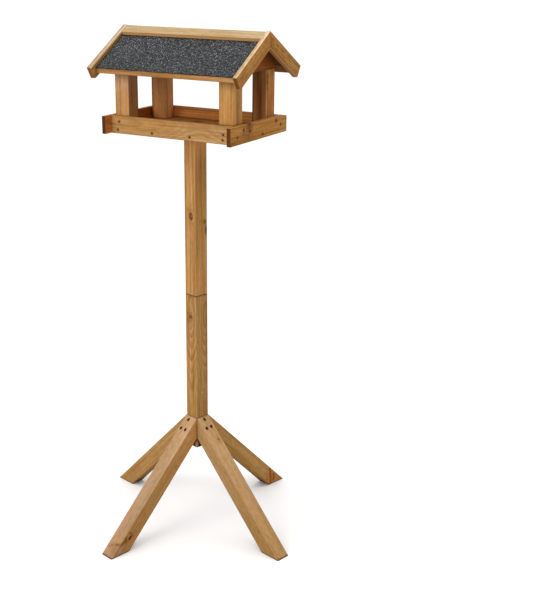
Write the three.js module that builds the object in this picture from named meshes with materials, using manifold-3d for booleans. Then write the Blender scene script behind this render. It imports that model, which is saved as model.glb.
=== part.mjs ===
// Free-standing wooden bird table: a two-piece square post on four splayed legs,
// carrying a railed feeding tray under a felted gable roof.
// Units are millimetres, +Z up. The origin is on the ground under the middle of the post,
// the tray's long side runs along X, and the front of the roof faces -Y.
import * as THREE from 'three';
import { mergeVertices } from 'three/addons/utils/BufferGeometryUtils.js';
import Module from 'manifold-3d';

const wasm = await Module();
wasm.setup();

// ---------------------------------------------------------------- driving dimensions
const GAP = 0.3;              // clearance left between touching pieces

// stand
const STAND_TURN_DEG = -14.86; // the post and legs stand turned this far from the tray
const POST = 46;              // square section of both post lengths
const POST_FOOT_Z = 246;      // sawn end of the post between the legs
const POST_JOINT_Z = 733;     // where the two lengths meet
const LEG_TOP_Z = 345.4;      // top edge of each leg against the post
const LEG_W = 45;             // leg section across
const LEG_T = 48;             // leg section square to its length
const DOWEL_R = 8;            // hardwood dowel inside the post joint
const DOWEL_LEN = 116;

// tray
const TRAY_Z = 1211.2;        // underside of the rails
const RAIL_H = 49.5;
const RAIL_T = 12.35;
const END_X = 209;            // outer face of the end rails
const END_Y = 155.2;          // half length of the end rails
const LONG_Y = 128.1;         // outer face of the long rails
const FLOOR_TOP = 1229.45;
const FLOOR_T = 12;

// corner posts
const CPOST = 45.7;
const CP_X = 192.4;           // outer faces
const CP_Y = 111.7;

// roof
const PITCH = THREE.MathUtils.degToRad(30.76);
const APEX_Z = 1499;          // where the top edges of the bargeboards meet
const BARGE_X = 239.2;        // outer face of the bargeboards
const BARGE_T = 12.5;
const BARGE_W = 38.8;
const BARGE_L = 205.8;        // along the slope
const BARGE_TIP = 3.2;        // level cut on the lower tip
const RIDGE_OUT = 1.3;        // depth of the ridge boards' face below the bargeboard edge
const RIDGE_T = 10.35;
const RIDGE_W = 33.9;         // measured down the slope from the apex
const FELT_T = 2;
const FELT_U = 187.9;         // lower edge of the felt, down the slope
const PANEL_T = 9.5;
const EAVE_IN = 130;          // inner and outer faces of the eave rails
const EAVE_OUT = 150.6;
const EAVE_Z = 1377.4;
const GABLE_T = 12;
const GABLE_Z = 1390;

// ---------------------------------------------------------------- materials
const stained = (c, rough = 0.62) => new THREE.MeshStandardMaterial({ color: c, roughness: rough, metalness: 0 });
const WOOD_LIGHT = stained(0xc9965f);
const WOOD_MID = stained(0xb98550);
const WOOD_DARK = stained(0x8a5430);
const DOWEL_WOOD = stained(0xd9b98a, 0.7);
const FELT = new THREE.MeshStandardMaterial({ color: 0x4c4f52, roughness: 0.95, metalness: 0 });
const STEEL = new THREE.MeshStandardMaterial({ color: 0x5b4a36, roughness: 0.45, metalness: 0.8 });

// ---------------------------------------------------------------- geometry helpers
const AXIS_MAP = {
  x: new THREE.Matrix4().set(0, 0, 1, 0, 1, 0, 0, 0, 0, 1, 0, 0, 0, 0, 0, 1), // outline is (y, z)
  y: new THREE.Matrix4().makeRotationX(Math.PI / 2),                          // outline is (x, z), runs to -Y
  z: new THREE.Matrix4(),                                                     // outline is (x, y)
};

// A straight prism: an outline pulled from `a` to `b` along one axis.
function prism(axis, outline, a, b) {
  const shape = new THREE.Shape(outline.map(([u, v]) => new THREE.Vector2(u, v)));
  const g = new THREE.ExtrudeGeometry(shape, { depth: b - a, bevelEnabled: false, steps: 1 });
  g.translate(0, 0, axis === 'y' ? -b : a);
  g.applyMatrix4(AXIS_MAP[axis]);
  return g;
}

const block = (x0, x1, y0, y1, z0, z1) => prism('z', [[x0, y0], [x1, y0], [x1, y1], [x0, y1]], z0, z1);

// A turned piece on the Z axis from a list of [radius, z] points, closed on the axis.
function turned(profile, sides = 12) {
  return new THREE.LatheGeometry(profile.map(([r, z]) => new THREE.Vector2(r, z)), sides).rotateX(Math.PI / 2);
}

// Aim a piece made along +Z so that it points along `dir` from `at`.
function aim(g, at, dir) {
  const q = new THREE.Quaternion().setFromUnitVectors(new THREE.Vector3(0, 0, 1), new THREE.Vector3(...dir).normalize());
  g.applyQuaternion(q);
  g.translate(...at);
  return g;
}

function solid(g) {
  const c = g.clone();
  c.deleteAttribute('normal');
  c.deleteAttribute('uv');
  const m = mergeVertices(c, 1e-4);
  return new wasm.Manifold(new wasm.Mesh({
    numProp: 3,
    vertProperties: new Float32Array(m.attributes.position.array),
    triVerts: new Uint32Array(m.index.array),
  }));
}

function geometry(s) {
  const m = s.getMesh();
  const g = new THREE.BufferGeometry();
  g.setAttribute('position', new THREE.BufferAttribute(new Float32Array(m.vertProperties), 3));
  g.setIndex(new THREE.BufferAttribute(new Uint32Array(m.triVerts), 1));
  g.computeVertexNormals();
  return g;
}

function cut(g, tools) {
  let s = solid(g);
  for (const t of tools) s = s.subtract(solid(t));
  return geometry(s);
}

const root = new THREE.Group();
root.name = 'bird_table';
function add(parent, name, g, mat) {
  const mesh = new THREE.Mesh(g, mat);
  mesh.name = name;
  parent.add(mesh);
  return mesh;
}

// ---------------------------------------------------------------- fasteners
// Flat-headed nail: head face at z = 0, shank along +Z.
const NAIL_L = 38;
const nail = () => turned([[0, 0], [2.9, 0], [2.9, 1.1], [1.35, 1.5], [1.35, NAIL_L - 3], [0, NAIL_L]], 12);
const nailHole = (depth = NAIL_L + 1) => turned([[0, -6], [3.2, -6], [3.2, 1.6], [1.7, 1.95], [1.7, depth], [0, depth]], 12);
// Wood screw with a countersunk head: head face at z = 0, shank along +Z.
const screw = (len) => turned([[0, 0], [3.3, 0], [3.3, 0.4], [2, 2.6], [2, len - 4], [0, len]], 14);
const screwHole = (len) => turned([[0, -70], [3.7, -70], [3.7, 1], [2.35, 3.1], [2.35, len + 1], [0, len + 1]], 14);

// ================================================================ STAND
const stand = new THREE.Group();
stand.rotation.z = THREE.MathUtils.degToRad(STAND_TURN_DEG);
root.add(stand);

const LEG_R0 = POST / 2 + GAP / 2;           // plumb cut of each leg
const LEG_DROP = LEG_T * Math.SQRT2;         // leg thickness measured plumb, at 45 degrees
const legOutline = [
  [LEG_R0, LEG_TOP_Z],
  [LEG_R0, LEG_TOP_Z - LEG_DROP],
  [LEG_R0 + LEG_TOP_Z - LEG_DROP, 0],
  [LEG_R0 + LEG_TOP_Z, 0],
];

// [name, turn about the post in degrees, [across, distance down the leg, screw length] ...]
const LEGS = [
  ['front_left_leg', -90, [[-4.4, 15.6, 22], [-13.1, 47.9, 36], [5.5, 47.9, 36]], WOOD_LIGHT],
  ['front_right_leg', 0, [[0.8, 13.4, 22], [9.5, 41.4, 34], [-9.5, 41.4, 34]], WOOD_LIGHT],
  ['back_right_leg', 90, [[0, 15.6, 22], [9.5, 47.9, 36], [-9.5, 47.9, 36]], WOOD_MID],
  ['back_left_leg', 180, [[0, 13.4, 22], [9.5, 41.4, 34], [-9.5, 41.4, 34]], WOOD_MID],
];

const postScrewHoles = [];
for (const [name, turn, fixings, mat] of LEGS) {
  const holes = [];
  fixings.forEach(([across, along, len], i) => {
    const x = LEG_R0 + along / Math.SQRT2 - 4.2;     // head sits below the sloping face
    const z = LEG_TOP_Z - along / Math.SQRT2;
    const place = (g) => aim(g, [x, across, z], [-1, 0, 0]);
    holes.push(place(screwHole(len)));
    const post = place(screwHole(len));
    post.rotateZ(THREE.MathUtils.degToRad(turn));
    postScrewHoles.push(post);
    const s = place(screw(len));
    s.rotateZ(THREE.MathUtils.degToRad(turn));
    add(stand, name.replace('_leg', '_leg_screw_') + (i + 1), s, STEEL);
  });
  // a hole that starts well outside the leg would cut nothing more than its counterbore
  const leg = cut(prism('y', legOutline, -LEG_W / 2, LEG_W / 2), holes);
  leg.rotateZ(THREE.MathUtils.degToRad(turn));
  add(stand, name, leg, mat);
}

const bore = (z0, z1) => {
  const g = turned([[0, z0], [DOWEL_R + GAP, z0], [DOWEL_R + GAP, z1], [0, z1]], 24);
  return g;
};
const half = DOWEL_LEN / 2;
const P = POST / 2;
add(stand, 'lower_post', cut(
  block(-P, P, -P, P, POST_FOOT_Z, POST_JOINT_Z - GAP / 2),
  [bore(POST_JOINT_Z - half - 1, POST_JOINT_Z + 5), ...postScrewHoles],
), WOOD_MID);
const UPPER_TOP = FLOOR_TOP - FLOOR_T - GAP;
add(stand, 'upper_post', cut(
  block(-P, P, -P, P, POST_JOINT_Z + GAP / 2, UPPER_TOP),
  [bore(POST_JOINT_Z - 5, POST_JOINT_Z + half + 1),
    turned([[0, UPPER_TOP - 62], [3.9, UPPER_TOP - 62], [3.9, UPPER_TOP + 5], [0, UPPER_TOP + 5]], 16)],
), WOOD_MID);
add(stand, 'post_dowel', turned([
  [0, POST_JOINT_Z - half], [DOWEL_R - 1.2, POST_JOINT_Z - half], [DOWEL_R, POST_JOINT_Z - half + 1.5],
  [DOWEL_R, POST_JOINT_Z + half - 1.5], [DOWEL_R - 1.2, POST_JOINT_Z + half], [0, POST_JOINT_Z + half],
], 24), DOWEL_WOOD);

// ================================================================ TRAY
const RAIL_TOP = TRAY_Z + RAIL_H;
const endIn = END_X - RAIL_T;
const longIn = LONG_Y - RAIL_T;

// nails, [x, height above the rail's underside] on the long rails, [y, height] on the end rails
const FRONT_NAILS = [['post_l', -169.6, 33.8], ['post_r', 170.3, 25.8], ['floor_1', -174.7, 10.4], ['floor_2', -59, 10.2], ['floor_3', 64, 10.2], ['floor_4', 168.4, 11.4]];
const BACK_NAILS = [['post_l', -170, 33], ['post_r', 170, 28]];
const RIGHT_NAILS = [['rail_1', -119.4, 20], ['post_1', -86.1, 36], ['floor', 17.6, 11.3], ['post_2', 94.1, 37], ['rail_2', 119.6, 23.5]];
const LEFT_NAILS = [['rail_1', -121, 21], ['post_1', -88, 24], ['post_2', 90, 23], ['rail_2', 121, 22]];

const holesFor = { front: [], back: [], left: [], right: [] };
function railNails(side, list, at, dir) {
  for (const [tag, c, h] of list) {
    const p = at(c, TRAY_Z + h);
    holesFor[side].push([p, dir]);
    add(root, side + '_nail_' + tag, aim(nail(), p, dir), STEEL);
  }
}
const SINK = 0.35;            // nail heads sit just below the face
railNails('front', FRONT_NAILS, (c, z) => [c, -LONG_Y + SINK, z], [0, 1, 0]);
railNails('back', BACK_NAILS, (c, z) => [c, LONG_Y - SINK, z], [0, -1, 0]);
railNails('right', RIGHT_NAILS, (c, z) => [END_X - SINK, c, z], [-1, 0, 0]);
railNails('left', LEFT_NAILS, (c, z) => [-END_X + SINK, c, z], [1, 0, 0]);
const holes = (...sides) => sides.flatMap((s) => holesFor[s].map(([p, d]) => aim(nailHole(), p, d)));

add(root, 'front_rail', cut(block(-endIn + GAP, endIn - GAP, -LONG_Y, -longIn, TRAY_Z, RAIL_TOP), holes('front', 'left', 'right')), WOOD_MID);
add(root, 'back_rail', cut(block(-endIn + GAP, endIn - GAP, longIn, LONG_Y, TRAY_Z, RAIL_TOP), holes('back', 'left', 'right')), WOOD_DARK);
add(root, 'left_end_rail', cut(block(-END_X, -endIn, -END_Y, END_Y, TRAY_Z, RAIL_TOP), holes('left')), WOOD_MID);
// the right end rail has a worn top corner at its back end
add(root, 'right_end_rail', cut(prism('x', [
  [-END_Y, TRAY_Z], [END_Y, TRAY_Z], [END_Y, RAIL_TOP - 6.5], [END_Y - 1.6, RAIL_TOP - 5], [END_Y - 5, RAIL_TOP - 3.6],
  [END_Y - 19, RAIL_TOP - 1.4], [END_Y - 36, RAIL_TOP], [-END_Y, RAIL_TOP],
], endIn, END_X), holes('right')), WOOD_MID);

// coach screw through the floor into the top of the post, over a washer
const COACH = turned([
  [0, -48], [2.4, -45], [3.6, -40], [3.6, 1.75], [7.4, 1.75], [7.4, 6.4], [6.6, 7.2], [0, 7.2],
], 6 * 4);
COACH.translate(0, 0, FLOOR_TOP);
add(root, 'head_coach_screw', COACH, STEEL);
const washer = turned([[4.1, 0], [12, 0], [12, 1.5], [4.1, 1.5], [4.1, 0]], 24);
washer.translate(0, 0, FLOOR_TOP + 0.1);
add(root, 'head_washer', washer, STEEL);

add(root, 'tray_floor', cut(
  block(-endIn + GAP, endIn - GAP, -longIn + GAP, longIn - GAP, FLOOR_TOP - FLOOR_T, FLOOR_TOP),
  [...holes('front', 'back', 'left', 'right'),
    turned([[0, FLOOR_TOP - 20], [4.1, FLOOR_TOP - 20], [4.1, FLOOR_TOP + 5], [0, FLOOR_TOP + 5]], 16)],
), WOOD_DARK);

// ================================================================ CORNER POSTS
const cosP = Math.cos(PITCH);
const sinP = Math.sin(PITCH);
const tanP = Math.tan(PITCH);
// height of a plane `n` below the bargeboards' top edges, over the point y
const roofZ = (y, n) => APEX_Z - Math.abs(y) * tanP - n / cosP;
// point at distance u down the slope and n below it, on side s (-1 front, 1 back)
const roofPt = (s, u, n) => [s * (u * cosP - n * sinP), APEX_Z - u * sinP - n * cosP];

const N_FELT = RIDGE_OUT + RIDGE_T;            // top of the felt
const N_PANEL = N_FELT + FELT_T + GAP / 2;     // top of the panels
const N_UNDER = N_PANEL + PANEL_T;             // underside of the panels

for (const [fy, sy] of [['front', -1], ['back', 1]]) {
  for (const [fx, sx] of [['left', -1], ['right', 1]]) {
    const y0 = CP_Y - CPOST;
    const z = (y) => roofZ(y, N_UNDER + GAP);
    const outline = [[y0, FLOOR_TOP + GAP], [CP_Y, FLOOR_TOP + GAP], [CP_Y, z(CP_Y)], [y0, z(y0)]]
      .map(([y, zz]) => [sy * y, zz]);
    if (sy < 0) outline.reverse();
    const xs = [sx * (CP_X - CPOST), sx * CP_X].sort((a, b) => a - b);
    const notch = sx > 0
      ? block(CP_X - GABLE_T - GAP, CP_X + 5, sy > 0 ? y0 - 5 : -CP_Y - 5, sy > 0 ? CP_Y + 5 : -y0 + 5, GABLE_Z - GAP, APEX_Z)
      : block(-CP_X - 5, -CP_X + GABLE_T + GAP, sy > 0 ? y0 - 5 : -CP_Y - 5, sy > 0 ? CP_Y + 5 : -y0 + 5, GABLE_Z - GAP, APEX_Z);
    add(root, `${fy}_${fx}_corner_post`, cut(
      prism('x', outline, xs[0], xs[1]),
      [notch, ...holes('front', 'back', 'left', 'right')],
    ), fy === 'front' ? WOOD_LIGHT : WOOD_DARK);
  }
}

// ================================================================ ROOF
const ROOF_X = BARGE_X - BARGE_T - GAP;        // panels, felt and ridge run between the bargeboards

// gable boards, let into the corner posts and flush with their outer faces
for (const [f, s] of [['left', -1], ['right', 1]]) {
  const xs = [s * (CP_X - GABLE_T), s * CP_X].sort((a, b) => a - b);
  const n = N_UNDER + GAP;
  add(root, f + '_gable_board', prism('x', [
    [-CP_Y, GABLE_Z], [CP_Y, GABLE_Z], [CP_Y, roofZ(CP_Y, n)], [0, roofZ(0, n)], [-CP_Y, roofZ(CP_Y, n)],
  ], xs[0], xs[1]), WOOD_DARK);
}

for (const [f, s] of [['front', -1], ['back', 1]]) {
  const flip = (o) => (s < 0 ? o.map(([y, z]) => [-y, z]).reverse() : o);
  // roof panel, mitred at the ridge and butted to the eave rail
  const pIn = EAVE_IN - GAP;
  add(root, f + '_roof_panel', prism('x', flip([
    [GAP / 2, roofZ(GAP / 2, N_UNDER)], [pIn, roofZ(pIn, N_UNDER)], [pIn, roofZ(pIn, N_PANEL)], [GAP / 2, roofZ(GAP / 2, N_PANEL)],
  ]), -ROOF_X, ROOF_X), WOOD_DARK);
  // eave rail: level bottom, top planed to the pitch of the roof
  add(root, f + '_eave_rail', prism('x', flip([
    [EAVE_IN, EAVE_Z], [EAVE_OUT, EAVE_Z], [EAVE_OUT, roofZ(EAVE_OUT, N_PANEL)], [EAVE_IN, roofZ(EAVE_IN, N_PANEL)],
  ]), -ROOF_X, ROOF_X), WOOD_MID);
  // ridge board, plumb cut at the ridge, square at its lower edge
  const a = roofPt(1, RIDGE_W, RIDGE_OUT);
  const b = roofPt(1, RIDGE_W, N_FELT - GAP / 2);
  add(root, f + '_ridge_board', prism('x', flip([
    [GAP / 2, roofZ(GAP / 2, N_FELT - GAP / 2)], b, a, [GAP / 2, roofZ(GAP / 2, RIDGE_OUT)],
  ]), -ROOF_X, ROOF_X), WOOD_LIGHT);
  // bargeboards
  const t0 = roofPt(1, BARGE_L, 0);
  const cutN = BARGE_W - BARGE_TIP / cosP;           // end cut stops here
  const t1 = roofPt(1, BARGE_L, cutN);
  const dU = (BARGE_TIP / cosP) / tanP;              // level cut comes back this far
  const t2 = roofPt(1, BARGE_L - dU, BARGE_W);
  t2[1] = t1[1];
  for (const [g, sx] of [['left', -1], ['right', 1]]) {
    const xs = [sx * (BARGE_X - BARGE_T), sx * BARGE_X].sort((p, q) => p - q);
    add(root, `${f}_${g}_bargeboard`, prism('x', flip([
      [GAP / 2, roofZ(GAP / 2, BARGE_W)], t2, t1, t0, [GAP / 2, roofZ(GAP / 2, 0)],
    ]), xs[0], xs[1]), WOOD_LIGHT);
  }
}

// one sheet of mineral felt, folded over the ridge
const feltIn = (s) => roofPt(s, FELT_U, N_FELT + FELT_T);
const feltOut = (s) => roofPt(s, FELT_U, N_FELT);
add(root, 'roof_felt', prism('x', [
  feltIn(1), feltOut(1), [0, roofZ(0, N_FELT)], feltOut(-1), feltIn(-1), [0, roofZ(0, N_FELT + FELT_T)],
], -ROOF_X + 1.2, ROOF_X - 1.2), FELT);

export default root;
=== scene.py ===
"""Looks of a free-standing wooden bird table: stained softwood timbers with rounded arrises,
a mineral felt roof, darkened steel nails, and screws painted near black for the shade of their counterbores, around the
fixed model.
Lengths are written in millimetres and turned into metres by MM."""
import math
import random

import bmesh
import bpy
import numpy as np
from mathutils import Matrix, Vector, noise


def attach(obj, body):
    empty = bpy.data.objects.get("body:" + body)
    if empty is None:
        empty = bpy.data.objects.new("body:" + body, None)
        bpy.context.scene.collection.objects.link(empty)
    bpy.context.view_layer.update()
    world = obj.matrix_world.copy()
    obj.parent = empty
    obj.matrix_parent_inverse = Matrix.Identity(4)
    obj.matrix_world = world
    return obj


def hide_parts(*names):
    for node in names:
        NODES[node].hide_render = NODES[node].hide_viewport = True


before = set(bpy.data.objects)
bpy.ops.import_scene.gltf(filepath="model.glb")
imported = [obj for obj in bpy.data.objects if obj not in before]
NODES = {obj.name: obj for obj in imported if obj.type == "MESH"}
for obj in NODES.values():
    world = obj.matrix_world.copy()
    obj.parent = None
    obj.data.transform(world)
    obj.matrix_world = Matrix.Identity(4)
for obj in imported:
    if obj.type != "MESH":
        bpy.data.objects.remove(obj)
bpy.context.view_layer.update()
MM = 0.001

# ------------------------------------------------------------------ shared dimensions (mm)
STAND_TURN = math.radians(-14.86)
POST = 46.0
LEG_TOP_Z, LEG_R0, LEG_W, LEG_T = 345.4, 23.15, 45.0, 48.0
TRAY_Z, RAIL_H, RAIL_T, END_X, END_Y, LONG_Y = 1211.2, 49.5, 12.35, 209.0, 155.2, 128.1
FLOOR_TOP = 1229.45
CP_X, CP_Y, CPOST = 192.4, 111.7, 45.7
PITCH, APEX_Z = math.radians(30.76), 1499.0
COSP, SINP, TANP = math.cos(PITCH), math.sin(PITCH), math.tan(PITCH)
BARGE_X, BARGE_T, BARGE_W = 239.2, 12.5, 38.8
ROOF_X, N_FELT, FELT_T, FELT_U = 226.4, 11.65, 2.0, 187.9
RIDGE_W = 33.9
HOLES = {"front_left_leg": ((15.6, -4.4), (47.9, -13.1), (47.9, 5.5)), "front_right_leg": ((13.4, 0.8), (41.4, 9.5), (41.4, -9.5)),
         "back_right_leg": ((15.6, 0), (47.9, 9.5), (47.9, -9.5)), "back_left_leg": ((13.4, 0), (41.4, 9.5), (41.4, -9.5))}
# nails of each tray rail: (name, place along the rail, height above its lower edge)
NAILS = {
    "front": (("post_l", -169.6, 33.8), ("post_r", 170.3, 25.8), ("floor_1", -174.7, 10.4), ("floor_2", -59, 10.2), ("floor_3", 64, 10.2),
              ("floor_4", 168.4, 11.4)),
    "back": (("post_l", -170, 33), ("post_r", 170, 28)),
    "right": (("rail_1", -119.4, 20), ("post_1", -86.1, 36), ("floor", 17.6, 11.3), ("post_2", 94.1, 37), ("rail_2", 119.6, 23.5)),
    "left": (("rail_1", -121, 21), ("post_1", -88, 24), ("post_2", 90, 23), ("rail_2", 121, 22)),
}


def roof_point(s, u, n):
    """(y, z) at u down the slope and n below the bargeboards' edges, on side s (-1 front, 1 back)."""
    return s * (u * COSP - n * SINP), APEX_Z - u * SINP - n * COSP


# ------------------------------------------------------------------ camera
def make_camera():
    az, dist, high, pitch, roll, yaw, f_px, cx = 32.68, 3.07799, 1.72407, 18.19, 0.08, -1.79, 1092.31, 228.96
    a0, a = math.radians(az), math.radians(az + yaw)
    p, r = math.radians(pitch), math.radians(roll)
    up = Vector((0, 0, 1))
    fwd = Vector((-math.sin(a), math.cos(a), 0))
    right = Vector((math.cos(a), math.sin(a), 0))
    look = fwd * math.cos(p) - up * math.sin(p)
    top = up * math.cos(p) + fwd * math.sin(p)
    x_axis = right * math.cos(r) + top * math.sin(r)
    y_axis = -right * math.sin(r) + top * math.cos(r)
    cam = bpy.data.cameras.new("camera")
    cam.sensor_width = 36.0
    cam.lens = f_px * 36.0 / 600.0
    cam.shift_x = (276.5 - cx) / 600.0
    cam.clip_start, cam.clip_end = 0.05, 400.0
    ob = bpy.data.objects.new("camera", cam)
    bpy.context.scene.collection.objects.link(ob)
    m = Matrix.Identity(4)
    for i, axis in enumerate((x_axis, y_axis, -look)):
        for j in range(3):
            m[j][i] = axis[j]
    m.translation = Vector((math.sin(a0) * dist, -math.cos(a0) * dist, high))
    ob.matrix_world = m
    bpy.context.scene.camera = ob


# ------------------------------------------------------------------ node helpers
class Tree:
    """Short calls that add shader nodes; an argument is a socket or a plain value."""

    def __init__(self, tree):
        self.t = tree
        tree.nodes.clear()

    def new(self, kind, **props):
        n = self.t.nodes.new(kind)
        for k, v in props.items():
            setattr(n, k, v)
        return n

    def put(self, socket, value):
        if isinstance(value, bpy.types.NodeSocket):
            self.t.links.new(value, socket)
        elif value is not None:
            if socket.type == "RGBA" and len(value) == 3:
                value = (*value, 1.0)
            socket.default_value = value

    def math(self, op, a, b=None, c=None, clamp=False):
        n = self.new("ShaderNodeMath", operation=op, use_clamp=clamp)
        for s, v in zip(n.inputs, (a, b, c)):
            self.put(s, v)
        return n.outputs[0]

    def add(self, a, b):
        return self.math("ADD", a, b)

    def sub(self, a, b):
        return self.math("SUBTRACT", a, b)

    def mul(self, a, b):
        return self.math("MULTIPLY", a, b)

    def vec(self, op, a, b=None, c=None):
        n = self.new("ShaderNodeVectorMath", operation=op)
        for s, v in zip(n.inputs, (a, b, c)):
            self.put(s, v)
        return n.outputs["Value"] if op in ("LENGTH", "DISTANCE", "DOT_PRODUCT") else n.outputs["Vector"]

    def scaled(self, p, sx, sy, sz, shift=(0, 0, 0)):
        n = self.new("ShaderNodeVectorMath", operation="MULTIPLY_ADD")
        self.put(n.inputs[0], p)
        self.put(n.inputs[1], (sx, sy, sz))
        self.put(n.inputs[2], shift)
        return n.outputs["Vector"]

    def xyz(self, v):
        n = self.new("ShaderNodeSeparateXYZ")
        self.put(n.inputs[0], v)
        return n.outputs

    def join(self, x, y, z):
        n = self.new("ShaderNodeCombineXYZ")
        for s, v in zip(n.inputs, (x, y, z)):
            self.put(s, v)
        return n.outputs[0]

    def noise(self, v, scale=1.0, detail=2.0, rough=0.5, out="Fac", dims="3D"):
        n = self.new("ShaderNodeTexNoise", noise_dimensions=dims)
        if dims == "1D":
            self.put(n.inputs["W"], v)
        else:
            self.put(n.inputs["Vector"], v)
        n.inputs["Scale"].default_value = scale
        n.inputs["Detail"].default_value = detail
        n.inputs["Roughness"].default_value = rough
        return n.outputs[out]

    def remap(self, v, a, b, c=0.0, d=1.0, smooth=True):
        n = self.new("ShaderNodeMapRange", interpolation_type="SMOOTHSTEP" if smooth else "LINEAR", clamp=True)
        self.put(n.inputs["Value"], v)
        for k, x in zip(("From Min", "From Max", "To Min", "To Max"), (a, b, c, d)):
            self.put(n.inputs[k], x)
        return n.outputs["Result"]

    def mix(self, fac, a, b, blend="MIX"):
        n = self.new("ShaderNodeMix", data_type="RGBA", blend_type=blend, clamp_factor=True)
        self.put(n.inputs["Factor"], fac)
        cols = [s for s in n.inputs if s.type == "RGBA"]
        self.put(cols[0], a)
        self.put(cols[1], b)
        return next(s for s in n.outputs if s.type == "RGBA")

    def gauss(self, d2):
        """exp(-d2)"""
        return self.math("EXPONENT", self.mul(d2, -1.0))

    def bump(self, height, distance, strength=1.0, normal=None):
        n = self.new("ShaderNodeBump")
        n.inputs["Strength"].default_value = strength
        n.inputs["Distance"].default_value = distance
        self.put(n.inputs["Height"], height)
        if normal is not None:
            self.put(n.inputs["Normal"], normal)
        return n.outputs["Normal"]

    def surface(self, colour, roughness, normal=None, metallic=0.0, specular=0.5):
        b = self.new("ShaderNodeBsdfPrincipled")
        self.put(b.inputs["Base Color"], colour)
        self.put(b.inputs["Roughness"], roughness)
        self.put(b.inputs["Metallic"], metallic)
        b.inputs["Specular IOR Level"].default_value = specular
        if normal is not None:
            self.put(b.inputs["Normal"], normal)
        o = self.new("ShaderNodeOutputMaterial")
        self.t.links.new(b.outputs[0], o.inputs["Surface"])
        return b


def new_material(name):
    m = bpy.data.materials.new(name)
    m.use_nodes = True
    return m, Tree(m.node_tree)


# ------------------------------------------------------------------ stained softwood
EARLY = (0.500, 0.258, 0.075)
LATE = (0.285, 0.122, 0.028)
PINK = (0.500, 0.275, 0.120)
STREAK = (0.285, 0.122, 0.028)
PALE = (0.450, 0.330, 0.178)
END = (0.160, 0.045, 0.005)
MARK_DARK = (0.045, 0.013, 0.0015)
LIFT = (1.020, 1.035, 1.110)


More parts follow.
